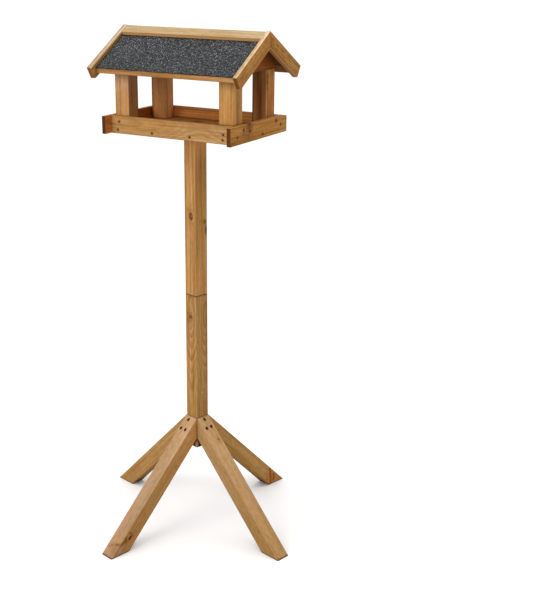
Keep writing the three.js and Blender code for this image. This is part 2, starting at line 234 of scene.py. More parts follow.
def softwood(name, seed, pith, ring=4.2, warp=8.0, tint=(1, 1, 1), grain=0.75, streak=0.5, pink=0.35, bleach_and_highlight=0.0,
             mottle=1.0, lines=1.0, half=(23.0, 23.0), knots=(), humps=(), marks=(), bands=(), stains=(), ramps=(), end=END,
             pale=PALE, darker_above_ground=0.0, faces=(), gloss=0.54, shine=0.055, hues=1.0):
    """Wood cut from a trunk: growth rings round a pith that runs along the piece, beside it.
    All places are (u, v, w) in mm from the piece's middle: u along the grain, v and w across it.
    pith is (v, w). knots are (u, across, face, half length, half width, strength) on face 'v+', 'v-', 'w+' or 'w-'.
    humps are (u, half length, rise) that bulge the rings into arches. marks are small dark spots
    (u, v, w, half length, half width, strength). bands are dark lines across the grain (u, half width, strength).
    stains are soft patches of another colour (u, v, w, size along, size v, size w, colour, strength).
    ramps tint the wood more and more from one u to another (u from, u to, tint). damp darkens the wood
    just above the ground. faces tint one face only (face, tint)."""
    mat, t = new_material(name)
    tint = tuple(a * b for a, b in zip(tint, LIFT))
    pale = tuple(a * b for a, b in zip(pale, LIFT))
    rnd = random.Random(seed)
    s = tuple(rnd.uniform(-9, 9) for _ in range(3))
    att = t.new("ShaderNodeAttribute", attribute_name="grain")
    p = att.outputs["Vector"]
    u, v, w = t.xyz(p)

    # slow wander of the grain
    n1 = t.noise(t.scaled(p, 1.7, 6.0, 6.0, s), 1.0, 2.0, 0.45, "Color")
    a, b, _ = t.xyz(t.vec("SUBTRACT", n1, (0.5, 0.5, 0.5)))
    n2 = t.noise(t.scaled(p, 11.0, 42.0, 42.0, s[::-1]), 1.0, 1.0, 0.5, "Color")
    c, d, _ = t.xyz(t.vec("SUBTRACT", n2, (0.5, 0.5, 0.5)))
    v2 = t.add(t.math("MULTIPLY_ADD", a, warp * 2 * MM, v), t.mul(c, 2.2 * MM))
    w2 = t.add(t.math("MULTIPLY_ADD", b, warp * 2 * MM, w), t.mul(d, 2.2 * MM))

    core = halo = None
    lift = None
    knot_d = None
    rough_edge = t.noise(t.scaled(p, 150, 230, 230, s), 1.0, 2.0, 0.6) if knots or marks or bands or darker_above_ground else None
    for (ku, ka, face, rx, ry, force) in knots:
        across, depth, thick = (v, w, half[1]) if face[0] == "w" else (w, v, half[0])
        sign = 1.0 if face[1] == "+" else -1.0
        du = t.math("SUBTRACT", u, ku * MM)
        da = t.math("SUBTRACT", across, ka * MM)
        ex = t.math("DIVIDE", du, rx * MM)
        ey = t.math("DIVIDE", da, ry * MM)
        dist = t.vec("LENGTH", t.join(ex, ey, 0.0))
        dist = t.add(dist, t.mul(t.sub(rough_edge, 0.5), 0.7))
        here = t.remap(t.mul(depth, sign), 0.25 * thick * MM, 0.60 * thick * MM)
        k_core = t.mul(t.mul(t.remap(dist, 0.75, 1.12, 1.0, 0.0), here), force)
        ex2 = t.math("DIVIDE", du, rx * 3.2 * MM)
        ey2 = t.math("DIVIDE", da, ry * 2.2 * MM)
        g = t.mul(t.gauss(t.add(t.mul(ex2, ex2), t.mul(ey2, ey2))), here)
        push = t.mul(t.mul(da, -0.8), g)
        if face[0] == "w":
            v2 = t.add(v2, push)
        else:
            w2 = t.add(w2, push)
        rise = t.mul(g, force * ring * 1.9 * MM)
        lift = rise if lift is None else t.add(lift, rise)
        core = k_core if core is None else t.math("MAXIMUM", core, k_core)
        halo = g if halo is None else t.math("MAXIMUM", halo, g)
        knot_d = dist if knot_d is None else t.math("MINIMUM", knot_d, dist)
    for (hu, size, rise) in humps:
        e = t.math("DIVIDE", t.sub(u, hu * MM), size * MM)
        h = t.mul(t.gauss(t.mul(e, e)), rise * MM)
        lift = h if lift is None else t.add(lift, h)

    off = t.join(t.sub(v2, pith[0] * MM), t.sub(w2, pith[1] * MM), 0.0)
    r = t.vec("LENGTH", off)
    if lift is not None:
        r = t.add(r, lift)
    turns = t.math("DIVIDE", r, ring * MM)
    turns = t.add(turns, t.mul(t.noise(t.mul(turns, 0.43), 1.0, 1.0, 0.5, "Fac", "1D"), 1.6))
    f = t.math("FRACT", turns)
    late = t.mul(t.remap(f, 0.22, 0.88), t.remap(f, 0.92, 1.0, 1.0, 0.0))
    year = t.new("ShaderNodeTexWhiteNoise", noise_dimensions="1D")
    t.put(year.inputs["W"], t.add(t.math("FLOOR", turns), s[0]))
    late = t.mul(late, t.remap(year.outputs["Value"], 0.0, 1.0, 0.30, 1.0, False))

    # fibres, streaks of stain, and slow patches
    fibre = t.noise(t.scaled(p, 14.0, 1250.0, 1250.0, s), 1.0, 2.0, 0.6)
    thread = t.noise(t.scaled(p, 5.0, 330.0, 330.0, s[::-1]), 1.0, 2.0, 0.55)
    mid = t.noise(t.scaled(t.join(u, v2, w2), 4.0, 150.0, 150.0, s), 1.0, 1.0, 0.5)
    band = t.noise(t.scaled(t.join(u, v2, w2), 2.3, 78.0, 78.0, s[::-1]), 1.0, 1.0, 0.5)
    patch = t.noise(t.scaled(p, 3.2, 24.0, 24.0, s[::-1]), 1.0, 2.0, 0.5)
    blot = t.noise(t.scaled(p, 55.0, 120.0, 120.0, s), 1.0, 3.0, 0.65)

    colour = t.mix(t.remap(patch, 0.35, 0.72, 0.0, pink), EARLY, PINK)
    colour = t.mix(t.mul(late, grain), colour, LATE)
    colour = t.mix(t.remap(band, 0.47, 0.70, 0.0, streak), colour, STREAK)

    colour = t.mix(1.0, colour, tint, "MULTIPLY")

    # upward faces are paler: partly weathering, partly a painted highlight of the light from above
    if bleach_and_highlight:
        up = t.new("ShaderNodeAttribute", attribute_name="up")
        paling_and_highlight = t.remap(up.outputs["Fac"], 0.30, 0.80, 0.0, bleach_and_highlight)
        paling_and_highlight = t.mul(paling_and_highlight, t.remap(late, 0.0, 1.0, 1.0, 0.72, False))
        colour = t.mix(paling_and_highlight, colour, pale)

    shade = t.add(1.0, t.mul(t.sub(mid, 0.5), 0.66 * lines))
    shade = t.add(shade, t.mul(t.sub(thread, 0.5), 0.55 * lines))
    shade = t.add(shade, t.mul(t.sub(blot, 0.5), 0.44 * mottle))
    shade = t.add(shade, t.mul(t.sub(fibre, 0.5), 0.25))
    shade = t.mul(shade, t.remap(patch, 0.25, 0.75, 1.09, 0.89, False))
    warm = t.math("POWER", shade, 1.18)
    colour = t.mix(1.0, colour, t.join(shade, warm, t.mul(warm, shade)), "MULTIPLY")
    # the stain leans from red to olive in long soft patches
    hue = t.noise(t.scaled(p, 9.0, 48.0, 48.0, (s[1], s[0], s[2])), 1.0, 2.0, 0.55)
    red, green = ([1 + (c - 1) * hues for c in k] for k in ((1.045, 0.968, 0.945), (0.965, 1.020, 0.995)))
    colour = t.mix(1.0, colour, t.mix(t.remap(hue, 0.30, 0.70), red, green), "MULTIPLY")

    # short dark resin lines
    duct = t.noise(t.scaled(p, 45.0, 900.0, 900.0, s), 1.0, 0.0, 0.5)
    colour = t.mix(t.remap(duct, 0.72, 0.80, 0.0, 0.35), colour, (0.16, 0.060, 0.018))

    for (face, fcol) in faces:
        depth, thick = (w, half[1]) if face[0] == "w" else (v, half[0])
        near = t.remap(t.mul(depth, 1.0 if face[1] == "+" else -1.0), (thick - 1.6) * MM, (thick - 0.5) * MM)
        colour = t.mix(1.0, colour, t.mix(near, (1, 1, 1), fcol), "MULTIPLY")
    for (u0, u1, rcol) in ramps:
        colour = t.mix(1.0, colour, t.mix(t.remap(u, u0 * MM, u1 * MM), (1, 1, 1), rcol), "MULTIPLY")

    if core is not None:
        inner = t.math("SINE", t.mul(knot_d, 9.0))
        kcol = t.mix(t.remap(inner, -1.0, 1.0, 0.0, 0.8), (0.150, 0.046, 0.008), (0.070, 0.018, 0.001))
        colour = t.mix(t.mul(halo, 0.40), colour, (0.27, 0.105, 0.026))
        colour = t.mix(core, colour, kcol)
        rim = t.mul(t.remap(knot_d, 0.74, 0.98), t.remap(knot_d, 1.02, 1.30, 1.0, 0.0))
        colour = t.mix(t.mul(t.mul(rim, halo), 0.7), colour, (0.065, 0.018, 0.002))
    for (su, sv, sw, ru, rv, rw, scol, force) in stains:
        q = t.scaled(p, 1 / (ru * MM), 1 / (rv * MM), 1 / (rw * MM), (-su / ru, -sv / rv, -sw / rw))
        dd = t.vec("LENGTH", q)
        g = t.mul(t.gauss(t.mul(dd, dd)), t.remap(mid, 0.3, 0.7, 0.75 * force, 1.25 * force, False))
        colour = t.mix(g, colour, scol)
    for (mu, mv, mw, ru, rr, force) in marks:
        q = t.scaled(p, 1 / (ru * MM), 1 / (rr * MM), 1 / (rr * MM), (-mu / ru, -mv / rr, -mw / rr))
        dd = t.add(t.vec("LENGTH", q), t.mul(t.sub(rough_edge, 0.5), 0.7))
        colour = t.mix(t.remap(dd, 0.45, 1.20, force, 0.0), colour, MARK_DARK)
    for (bu, size, force) in bands:
        e = t.math("DIVIDE", t.add(t.sub(u, bu * MM), t.mul(t.sub(rough_edge, 0.5), size * MM)), size * MM)
        colour = t.mix(t.mul(t.gauss(t.mul(e, e)), force), colour, MARK_DARK)

    # the wood is darker in the last few mm above the ground
    if darker_above_ground:
        coord = t.new("ShaderNodeTexCoord")
        low = t.add(t.xyz(coord.outputs["Object"])[2], t.mul(t.sub(rough_edge, 0.5), 3.0 * MM))
        colour = t.mix(t.remap(low, 1.5 * MM, 6.0 * MM, darker_above_ground, 0.0), colour, (0.060, 0.026, 0.011))

    # sawn ends soak up more stain, and show the rings and open pores
    sawn = t.new("ShaderNodeAttribute", attribute_name="end")
    pore = t.noise(t.scaled(p, 300, 900, 900, s), 1.0, 2.0, 0.7)
    es = t.add(t.remap(pore, 0.3, 0.7, 0.62, 1.30, False), t.mul(late, -0.22))
    ecol = t.mix(1.0, end, t.join(es, es, es), "MULTIPLY")
    colour = t.mix(t.remap(sawn.outputs["Fac"], 0.45, 0.68), colour, ecol)

    # the rounded arrises are paler: the stain worn thin, and partly a painted highlight where they catch the light
    arris = t.new("ShaderNodeAttribute", attribute_name="arris")
    wear_and_highlight = t.noise(t.scaled(p, 30, 120, 120, s), 1.0, 3.0, 0.6)
    colour = t.mix(t.mul(arris.outputs["Fac"], t.remap(wear_and_highlight, 0.35, 0.7, 0.05, 0.5)), colour, (0.50, 0.31, 0.135))

    rough = t.add(t.remap(late, 0.0, 1.0, gloss + 0.06, gloss - 0.03, False), t.mul(t.sub(fibre, 0.5), 0.22))
    height = t.add(t.mul(late, 0.35), t.add(t.mul(fibre, 0.9), t.mul(thread, 0.8)))
    if core is not None:
        height = t.sub(height, t.mul(core, 1.2))
    normal = t.bump(height, 0.00035, 0.55)
    t.surface(colour, rough, normal, specular=shine)
    return mat


# ------------------------------------------------------------------ timbers
def timber(node, origin, u_axis, v_axis, arris, material, name=None, shortest=11.0):
    """A new mesh for a timber: the model's own faces with its long arrises rounded, and each vertex's
    place along and across the grain kept for the wood to read."""
    src = NODES[node].data
    bm = bmesh.new()
    bm.from_mesh(src)
    bmesh.ops.remove_doubles(bm, verts=bm.verts, dist=2e-6)
    bmesh.ops.dissolve_limit(bm, angle_limit=math.radians(1.0), verts=bm.verts, edges=bm.edges, use_dissolve_boundaries=False)
    edges = [e for e in bm.edges if len(e.link_faces) == 2 and e.calc_face_angle(0) > math.radians(26)
             and e.calc_length() > shortest * MM
             and not (e.calc_face_angle(0) < math.radians(33) and min(f.calc_area() for f in e.link_faces) < 2e-4)]
    for f in bm.faces:
        f.tag = True
    made = bmesh.ops.bevel(bm, geom=edges, offset=arris * MM, offset_type="OFFSET", segments=3, profile=0.5,
                           affect="EDGES", clamp_overlap=True)
    rounded = set(made["faces"])
    bm.normal_update()
    u_axis, v_axis = Vector(u_axis).normalized(), Vector(v_axis).normalized()
    w_axis = u_axis.cross(v_axis)
    o = Vector(origin) * MM
    me = bpy.data.meshes.new(name or node + "_timber")
    ends = [abs(f.normal.dot(u_axis)) for f in bm.faces]
    arr = [1.0 if f in rounded else 0.0 for f in bm.faces]
    ups = [max(0.0, f.normal.z) for f in bm.faces]
    for f in bm.faces:
        f.smooth = True
    for e in bm.edges:
        e.smooth = not (len(e.link_faces) == 2 and e.calc_face_angle(0) > math.radians(34))
    bm.to_mesh(me)
    bm.free()
    place = me.attributes.new("grain", "FLOAT_VECTOR", "POINT")
    for i, vert in enumerate(me.vertices):
        q = vert.co - o
        place.data[i].vector = (q.dot(u_axis), q.dot(v_axis), q.dot(w_axis))
    for tag, values in (("end", ends), ("arris", arr), ("up", ups)):
        me.attributes.new(tag, "FLOAT", "FACE").data.foreach_set("value", values)
    me.materials.append(material)
    ob = bpy.data.objects.new(name or node + "_timber", me)
    bpy.context.scene.collection.objects.link(ob)
    wn = ob.modifiers.new("even shading", "WEIGHTED_NORMAL")
    wn.mode, wn.weight, wn.keep_sharp = "FACE_AREA", 100, True
    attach(ob, "root")
    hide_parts(node)
    return ob


def turn(x, y, z=0.0, extra=0.0):
    a = STAND_TURN + math.radians(extra)
    return (x * math.cos(a) - y * math.sin(a), x * math.sin(a) + y * math.cos(a), z)


def trail(start, stop, count, size, colour, force):
    """Stains in a row from one place to another; size is (along, v, w)."""
    out = []
    for i in range(count):
        k = i / (count - 1)
        out.append((*(a + (b - a) * k for a, b in zip(start, stop)), *size, colour, force))
    return out


def make_stand():
    ex = turn(1, 0)
    dim = (0.080, 0.022, 0.005)
    olive = (0.29, 0.155, 0.040)
    cream = (0.56, 0.335, 0.160)
    timber("upper_post", (0, 0, 1000), (0, 0, 1), ex, 1.5, softwood(
        "wood_upper_post", 11, (-34, 58), ring=5.4, warp=5.0, grain=0.48, streak=0.32, pink=0.55, tint=(0.99, 0.98, 1.00), lines=1.15,
        knots=[(-27.5, 4.5, "w-", 10.6, 7.0, 1.0)], marks=[(-9, -8, -23, 5, 4, 0.3)],
        stains=[(60, 25, 0, 170, 3, 60, (0.42, 0.19, 0.045), 0.45), (-26, 6.5, -23, 5.5, 4.2, 4, (0.29, 0.120, 0.062), 0.85),
                (-46, 23, 13, 8, 6, 5.5, (0.190, 0.064, 0.010), 0.9), (-44, 23, -6, 9, 5, 8, (0.42, 0.175, 0.036), 0.5), (-72, 23, 19.5, 15, 5, 5.0, (0.060, 0.030, 0.004), 0.95),
                # painted light: the first two stains on the next line and the ramp at the end lighten the top of the
                # post under the tray, against the tray's shade
                (195, 24, 0, 50, 6, 60, (0.98, 0.49, 0.18), 0.7), (200, 0, -24, 40, 60, 6, (0.90, 0.50, 0.19), 0.3),
                (80, 23, -15.5, 120, 4, 2.6, (0.40, 0.150, 0.045), 0.5), (60, 23, -6, 110, 4, 3.0, (0.34, 0.215, 0.060), 0.45),
                (-110, 23, 6.5, 60, 4, 2.6, (0.42, 0.150, 0.045), 0.45), (-95, 23, -8, 60, 4, 4.0, (0.36, 0.235, 0.055), 0.5)],
        bands=[(-266.5, 1.7, 0.8)], faces=[("v+", (1.04, 1.01, 0.93))], ramps=[(120, 210, (1.50, 1.44, 1.38))]))
    timber("lower_post", (0, 0, 500), (0, 0, 1), ex, 1.5, softwood(
        "wood_lower_post", 23, (1, 14), ring=4.8, warp=3.2, grain=0.80, streak=0.35, pink=0.3, tint=(0.98, 1.01, 1.06), lines=1.2,
        knots=[(165, -3.0, "w-", 5.6, 6.4, 0.7)], humps=[(168, 150, -27.0)], ramps=[(40, -130, (0.84, 0.82, 0.75))],
        bands=[(232.5, 1.7, 0.75), (-156, 1.6, 0.45)],
        stains=[(188, -8, -23, 9, 4, 4, olive, 0.65), (192, 12, -23, 9, 3.5, 4, olive, 0.65), (149, -7, -23, 8, 4, 4, (0.32, 0.130, 0.045), 0.6),
                # the foot of the post between the legs: dim is painted shade over darker stain, the pale patch after it
                # is partly a painted highlight on a corner, and the near-black spot is painted shade
                (128, -1, -23, 6, 5, 4, (0.25, 0.135, 0.052), 0.65), (118, 10, -23, 6, 4, 4, olive, 0.5), (-254, 0, 0, 24, 60, 60, dim, 1.4),
                (-244, 19.5, -23, 9, 4.8, 4.8, (0.72, 0.46, 0.28), 1.0), (-225, 21, -21, 9, 14, 14, (0.015, 0.003, 0.0005), 1.0)]
               + [(40, 23, 14, 130, 4, 3.2, (0.38, 0.135, 0.040), 0.55), (0, 23, 0, 130, 4, 3.0, (0.34, 0.225, 0.075), 0.4),
                  (-77, 23, -1, 3, 3, 2, (0.66, 0.47, 0.28), 0.8)]
               + trail((204, -3, -23), (176, 8, -23), 4, (6.5, 2.6, 4), cream, 0.45)
               + trail((131, 9, -23), (119, -3, -23), 3, (4.5, 3.0, 4), cream, 0.45)))
    timber("post_dowel", (0, 0, 733), (0, 0, 1), ex, 0.4, softwood("wood_dowel", 31, (30, 12), ring=2.2, tint=(1.2, 1.35, 1.6)))
    foot = (0.115, 0.046, 0.016)
    fig = (0.190, 0.064, 0.012)
    arc = (0.190, 0.075, 0.024)
    legs = {
        "front_left_leg": (-90, dict(
            seed=41, pith=(26, -70), ring=5.2, warp=6, grain=0.26, streak=0.12, pink=0.9, bleach_and_highlight=0.80, lines=0.6, mottle=1.5, hues=0.4,
            tint=(0.91, 0.88, 0.81), pale=(0.380, 0.250, 0.146), darker_above_ground=0.8,
            knots=[(406, 3.3, "v+", 7.0, 4.2, 1.0)], bands=[(0.8, 2.2, 0.7)],
            ramps=[(200, 60, (1.15, 1.13, 1.10)), (160, 300, (0.94, 0.96, 0.94)), (240, 440, (1.0, 0.93, 0.95))],
            stains=[(430, 6, 24, 10, 10, 6, (0.44, 0.25, 0.085), 0.7), (402, 14, 24, 20, 7, 4, (0.38, 0.21, 0.10), 0.5),
                    (458, 12, 24, 14, 10, 8, (0.27, 0.130, 0.050), 0.65), (452, 22.5, 8, 14, 8, 10, (0.36, 0.20, 0.105), 0.5)]
                   + trail((393, 22.5, 15), (396, 22.5, -2), 4, (3.4, 7, 4.5), arc, 0.75)
                   + trail((413, 22.5, 18), (420, 22.5, 11.5), 3, (4.4, 7, 4.4), fig, 0.85)
                   + trail((423, 22.5, 12), (437, 22.5, 20), 4, (4.2, 7, 4.6), fig, 0.85)
                   + trail((439, 21, 24), (443.5, 9, 24), 3, (3.8, 5.0, 6), fig, 0.9)
                   + trail((449, -4, 24), (456, -11, 24), 2, (4.8, 5, 6), foot, 0.55)
                   + trail((0, 22.5, 24), (48, 22.5, -24), 9, (3.2, 3, 3.2), (0.200, 0.070, 0.008), 0.45)
                   + [(384, 22.5, 14, 9, 5, 5, (0.34, 0.20, 0.045), 0.5), (405, 5, 24, 10, 6, 5, (0.42, 0.215, 0.125), 0.5),
                      (454, 6, 24, 7, 7, 5, (0.30, 0.21, 0.075), 0.45),
                      (454, -12, 24, 6, 6, 5, (0.30, 0.15, 0.085), 0.5), (472, -3, 24, 8, 7, 5, (0.44, 0.24, 0.14), 0.5),
                      (433, 22.5, -18, 9, 5, 6, (0.36, 0.20, 0.05), 0.5)]
                   + [(462, 20, 20, 16, 9, 9, (0.25, 0.115, 0.045), 0.75), (446, 22.5, 0, 8, 8, 6, (0.30, 0.150, 0.070), 0.6),
                      (466, -6, 24, 14, 9, 6, (0.36, 0.21, 0.10), 0.55), (470, 22.5, 2, 9, 8, 8, (0.24, 0.110, 0.050), 0.5), (455, 22.5, 14, 16, 6, 8, (0.46, 0.27, 0.135), 0.7)])),
        "front_right_leg": (0, dict(
            seed=47, pith=(-30, -66), ring=5.0, warp=6, grain=0.26, streak=0.12, pink=0.9, bleach_and_highlight=0.80, lines=0.6, mottle=1.5, hues=0.4,
            tint=(0.87, 0.94, 1.17), pale=(0.418, 0.243, 0.103), darker_above_ground=0.8, bands=[(0.8, 2.2, 0.7)],
            ramps=[(200, 60, (1.07, 1.10, 1.11)), (150, 430, (0.90, 0.86, 0.74))],
            marks=[(84.7, 9.7, 24, 5, 4, 0.40)], stains=[(85, 9.7, 24, 10, 8, 8, foot, 0.35)])),
        "back_right_leg": (90, dict(
            seed=53, pith=(60, 24), ring=4.8, warp=7, grain=0.42, streak=0.25, pink=0.4, bleach_and_highlight=0.6, lines=0.8, mottle=1.4,
            tint=(0.91, 0.94, 0.88), pale=(0.39, 0.25, 0.135), darker_above_ground=0.9, bands=[(0.8, 2.2, 0.7)],
            # the last stain on this line darkens the underside by the foot: painted shade
            stains=[(430, -22.5, 0, 27, 9, 26, (0.48, 0.175, 0.033), 0.95), (440, 0, -24, 50, 60, 3, (0.06, 0.022, 0.008), 0.8)]
                   + trail((402, -22.5, 19), (448, -22.5, -19), 7, (4.4, 8, 4.4), (0.155, 0.030, 0.002), 0.95)
                   + trail((432, -22.5, 14), (446, -22.5, 0), 3, (5.5, 8, 4.5), (0.150, 0.032, 0.004), 0.75)
                   + trail((402, -22.5, -2), (414, -22.5, -14), 3, (4.5, 8, 4.0), (0.26, 0.085, 0.015), 0.55))),
        "back_left_leg": (180, dict(
            seed=59, pith=(-64, 22), ring=4.8, warp=7, grain=0.42, streak=0.25, pink=0.4, bleach_and_highlight=0.6, lines=0.8, mottle=1.4,
            tint=(0.92, 0.96, 1.00), pale=(0.39, 0.25, 0.135), darker_above_ground=0.9, bands=[(0.8, 2.2, 0.7)],
            # the stain on this line darkens the underside by the foot: painted shade
            ramps=[(240, 440, (0.88, 0.85, 0.76)), (260, 180, (1.03, 1.05, 1.15))], stains=[(440, 0, -24, 40, 60, 3, (0.10, 0.035, 0.012), 0.7)])),
    }
    for node, (extra, look) in legs.items():
        out = Vector(turn(1, 0, 0, extra))
        # the grain frame: u down the leg, v across it, w out of its top face
        top = out * LEG_R0 + Vector((0, 0, LEG_TOP_Z))
        nrm = (out + Vector((0, 0, 1))).normalized()
        u = (out - Vector((0, 0, 1))).normalized()
        # dark round the screw holes: the stain has run in, and painted shade of the counterbores
        holes = [(a - 1.0, c, 22.6, 6.6, 6.0, 1.0) for a, c in HOLES[node]]
        look["marks"] = look.get("marks", []) + holes
        timber(node, top - nrm * LEG_T / 2, u, nrm.cross(u), 1.5, softwood("wood_" + node, half=(22.5, 24), **look))


def make_tray():
    mid = TRAY_Z + RAIL_H / 2
    lip = RAIL_T / 2
    thin = (RAIL_H / 2, lip)
    red = (0.190, 0.064, 0.017)
    low = (0.085, 0.034, 0.011)

    def bled(side, w):
        # the stain runs brown round each nail
        return [(c, h - RAIL_H / 2, w, 4.6, 4.6, 4, (0.20, 0.072, 0.010), 0.75) for _, c, h in NAILS[side]]

    timber("front_rail", (0, -LONG_Y + lip, mid), (1, 0, 0), (0, 0, 1), 0.7, softwood(
        "wood_front_rail", 61, (16, -62), ring=3.6, warp=11, grain=0.60, streak=0.40, pink=0.50, bleach_and_highlight=0.0, half=thin,
        tint=(0.86, 0.83, 0.82), lines=1.2, humps=[(95, 85, 13)], ramps=[(-20, 60, (1.05, 1.16, 1.36)), (100, 180, (1.04, 1.10, 1.20))],
        faces=[("v+", (0.80, 0.70, 0.50))], pale=(0.36, 0.19, 0.075),
        # painted shade: the first two stains darken the bottom of the front face and the top inner edge, and the last
        # stain on the next line darkens the top by the right corner post
        stains=[(0, -25, lip, 900, 1.8, 3, low, 0.7), (0, 24.75, -lip, 900, 4, 4, (0.16, 0.065, 0.012), 0.8),
                (0, 21, lip, 900, 5, 4, (0.33, 0.158, 0.046), 0.55), (169.5, 24.75, -1, 21, 3.0, 8, (0.16, 0.062, 0.014), 0.7)] + bled("front", lip),
        marks=[(-169.6, 8.6, lip, 2.4, 4.6, 0.45), (-174.7, -14.6, lip, 5.0, 2.2, 0.45), (-59, -14.8, lip, 6.0, 1.9, 0.45),
               (64, -14.8, lip, 6.5, 2.1, 0.45), (170.3, 0.8, lip, 2.6, 4.0, 0.45), (168.4, -13.6, lip, 5.0, 2.2, 0.45)]))
    timber("back_rail", (0, LONG_Y - lip, mid), (1, 0, 0), (0, 0, 1), 0.7, softwood(
        "wood_back_rail", 67, (-20, 60), ring=4.6, warp=9, grain=0.6, streak=0.5, pink=0.15, half=thin, tint=(0.98, 0.93, 0.88),
        lines=1.2, faces=[("w+", (1.34, 1.24, 1.08)), ("v+", (0.45, 0.38, 0.30))], ramps=[(60, -60, (1.25, 1.12, 1.25))],
        # painted shade: a dark line where the floor meets the back rail's inner face
        stains=[(0, -6.5, lip, 900, 1.5, 3, low, 0.7)] + bled("back", -lip)))
    timber("right_end_rail", (END_X - lip, 0, mid), (0, 1, 0), (0, 0, 1), 0.7, softwood(
        "wood_right_end_rail", 71, (-34, 44), ring=3.8, warp=10, grain=0.95, streak=0.45, pink=0.1, bleach_and_highlight=0.15, half=thin,
        tint=(0.99, 0.87, 0.64), end=(0.122, 0.037, 0.004), lines=1.2, pale=(0.40, 0.23, 0.10),
        humps=[(-60, 45, 14)], faces=[("v+", (0.88, 0.84, 0.78))], ramps=[(70, 150, (1.00, 1.08, 1.18))],
        stains=[(-55, 14, lip, 13, 14, 20, (0.20, 0.070, 0.020), 1.0), (-56, 23, lip, 10, 4.5, 20, (0.110, 0.030, 0.005), 0.95),
                (-53, 3, lip, 8, 4, 20, (0.110, 0.030, 0.005), 0.85), (-50, 13, lip, 5, 4, 20, (0.36, 0.17, 0.065), 0.5),
                (-70, 12, lip, 3, 12, 20, red, 0.6), (-40, 10, lip, 3, 10, 20, red, 0.5),
                (-84, 3, lip, 15, 13, 6, (0.265, 0.108, 0.031), 0.7), (-61, -11, lip, 5, 8, 6, (0.190, 0.062, 0.012), 0.75),
                (-71, -4, lip, 9, 3.5, 6, (0.235, 0.086, 0.023), 0.55), (-43, -9, lip, 4, 8, 6, (0.290, 0.120, 0.036), 0.45), (-66, 20, -lip, 12, 12, 9, red, 0.5),
                (146, -17, lip, 26, 3, 6, (0.40, 0.24, 0.12), 0.8), (92, 13.9, lip, 6.5, 6.5, 9, (0.20, 0.056, 0.012), 0.85),
                # the second stain on this line is painted shade along the bottom of the outer face
                (140, 24, 0, 20, 3, 9, (0.30, 0.24, 0.17), 0.7), (0, -25, lip, 900, 1.5, 3, low, 0.55),
                (-155, -22, 0, 6, 5, 30, low, 0.9), (-155, 0, -7, 3, 60, 2, low, 0.7)] + bled("right", lip),
        marks=[(-119.4, -4.0, lip, 3.0, 6.5, 0.55), (-88, 12.0, lip, 3.2, 7.0, 0.65), (16, -13, lip, 4, 4, 0.55),
               (91.5, 14, lip, 3.6, 4.2, 0.35), (118.7, 0.5, lip, 3.4, 5.6, 0.75), (-50, 4, lip, 2.6, 3.4, 0.5), (-57, 23, lip, 4.0, 3.0, 0.5)]))
    timber("left_end_rail", (-END_X + lip, 0, mid), (0, 1, 0), (0, 0, 1), 0.7, softwood(
        "wood_left_end_rail", 73, (12, -58), ring=4.4, warp=10, grain=0.8, streak=0.6, pink=0.1, half=thin, tint=(0.98, 0.92, 0.86),
        end=(0.090, 0.025, 0.006), lines=1.2, faces=[("w+", (1.20, 0.85, 0.62))],
        stains=[(-146, 1, lip, 6, 6, 5, (0.42, 0.165, 0.045), 0.6)]
        + [(-146 + 8.5 * math.cos(a), 1 + 11 * math.sin(a), lip, 3.2, 3.2, 5, (0.120, 0.034, 0.007), 0.6) for a in (0.4, 1.3, 2.3, 3.6, 4.9)] + bled("left", -lip)))
    timber("tray_floor", (0, 0, FLOOR_TOP - 6), (1, 0, 0), (0, 1, 0), 0.6, softwood(
        "wood_tray_floor", 79, (30, -70), ring=6.0, warp=14, grain=0.6, streak=0.5, pink=0.1, tint=(0.86, 0.66, 0.50), half=(115, 6), gloss=0.7, shine=0.02,
        # the second stain on this line is painted shade along the floor's back edge, where it meets the back rail
        stains=[(-33, 65, 6, 16, 12, 12, (0.05, 0.020, 0.006), 0.6), (0, 114, 6, 900, 5, 4, (0.05, 0.018, 0.006), 0.6)]))


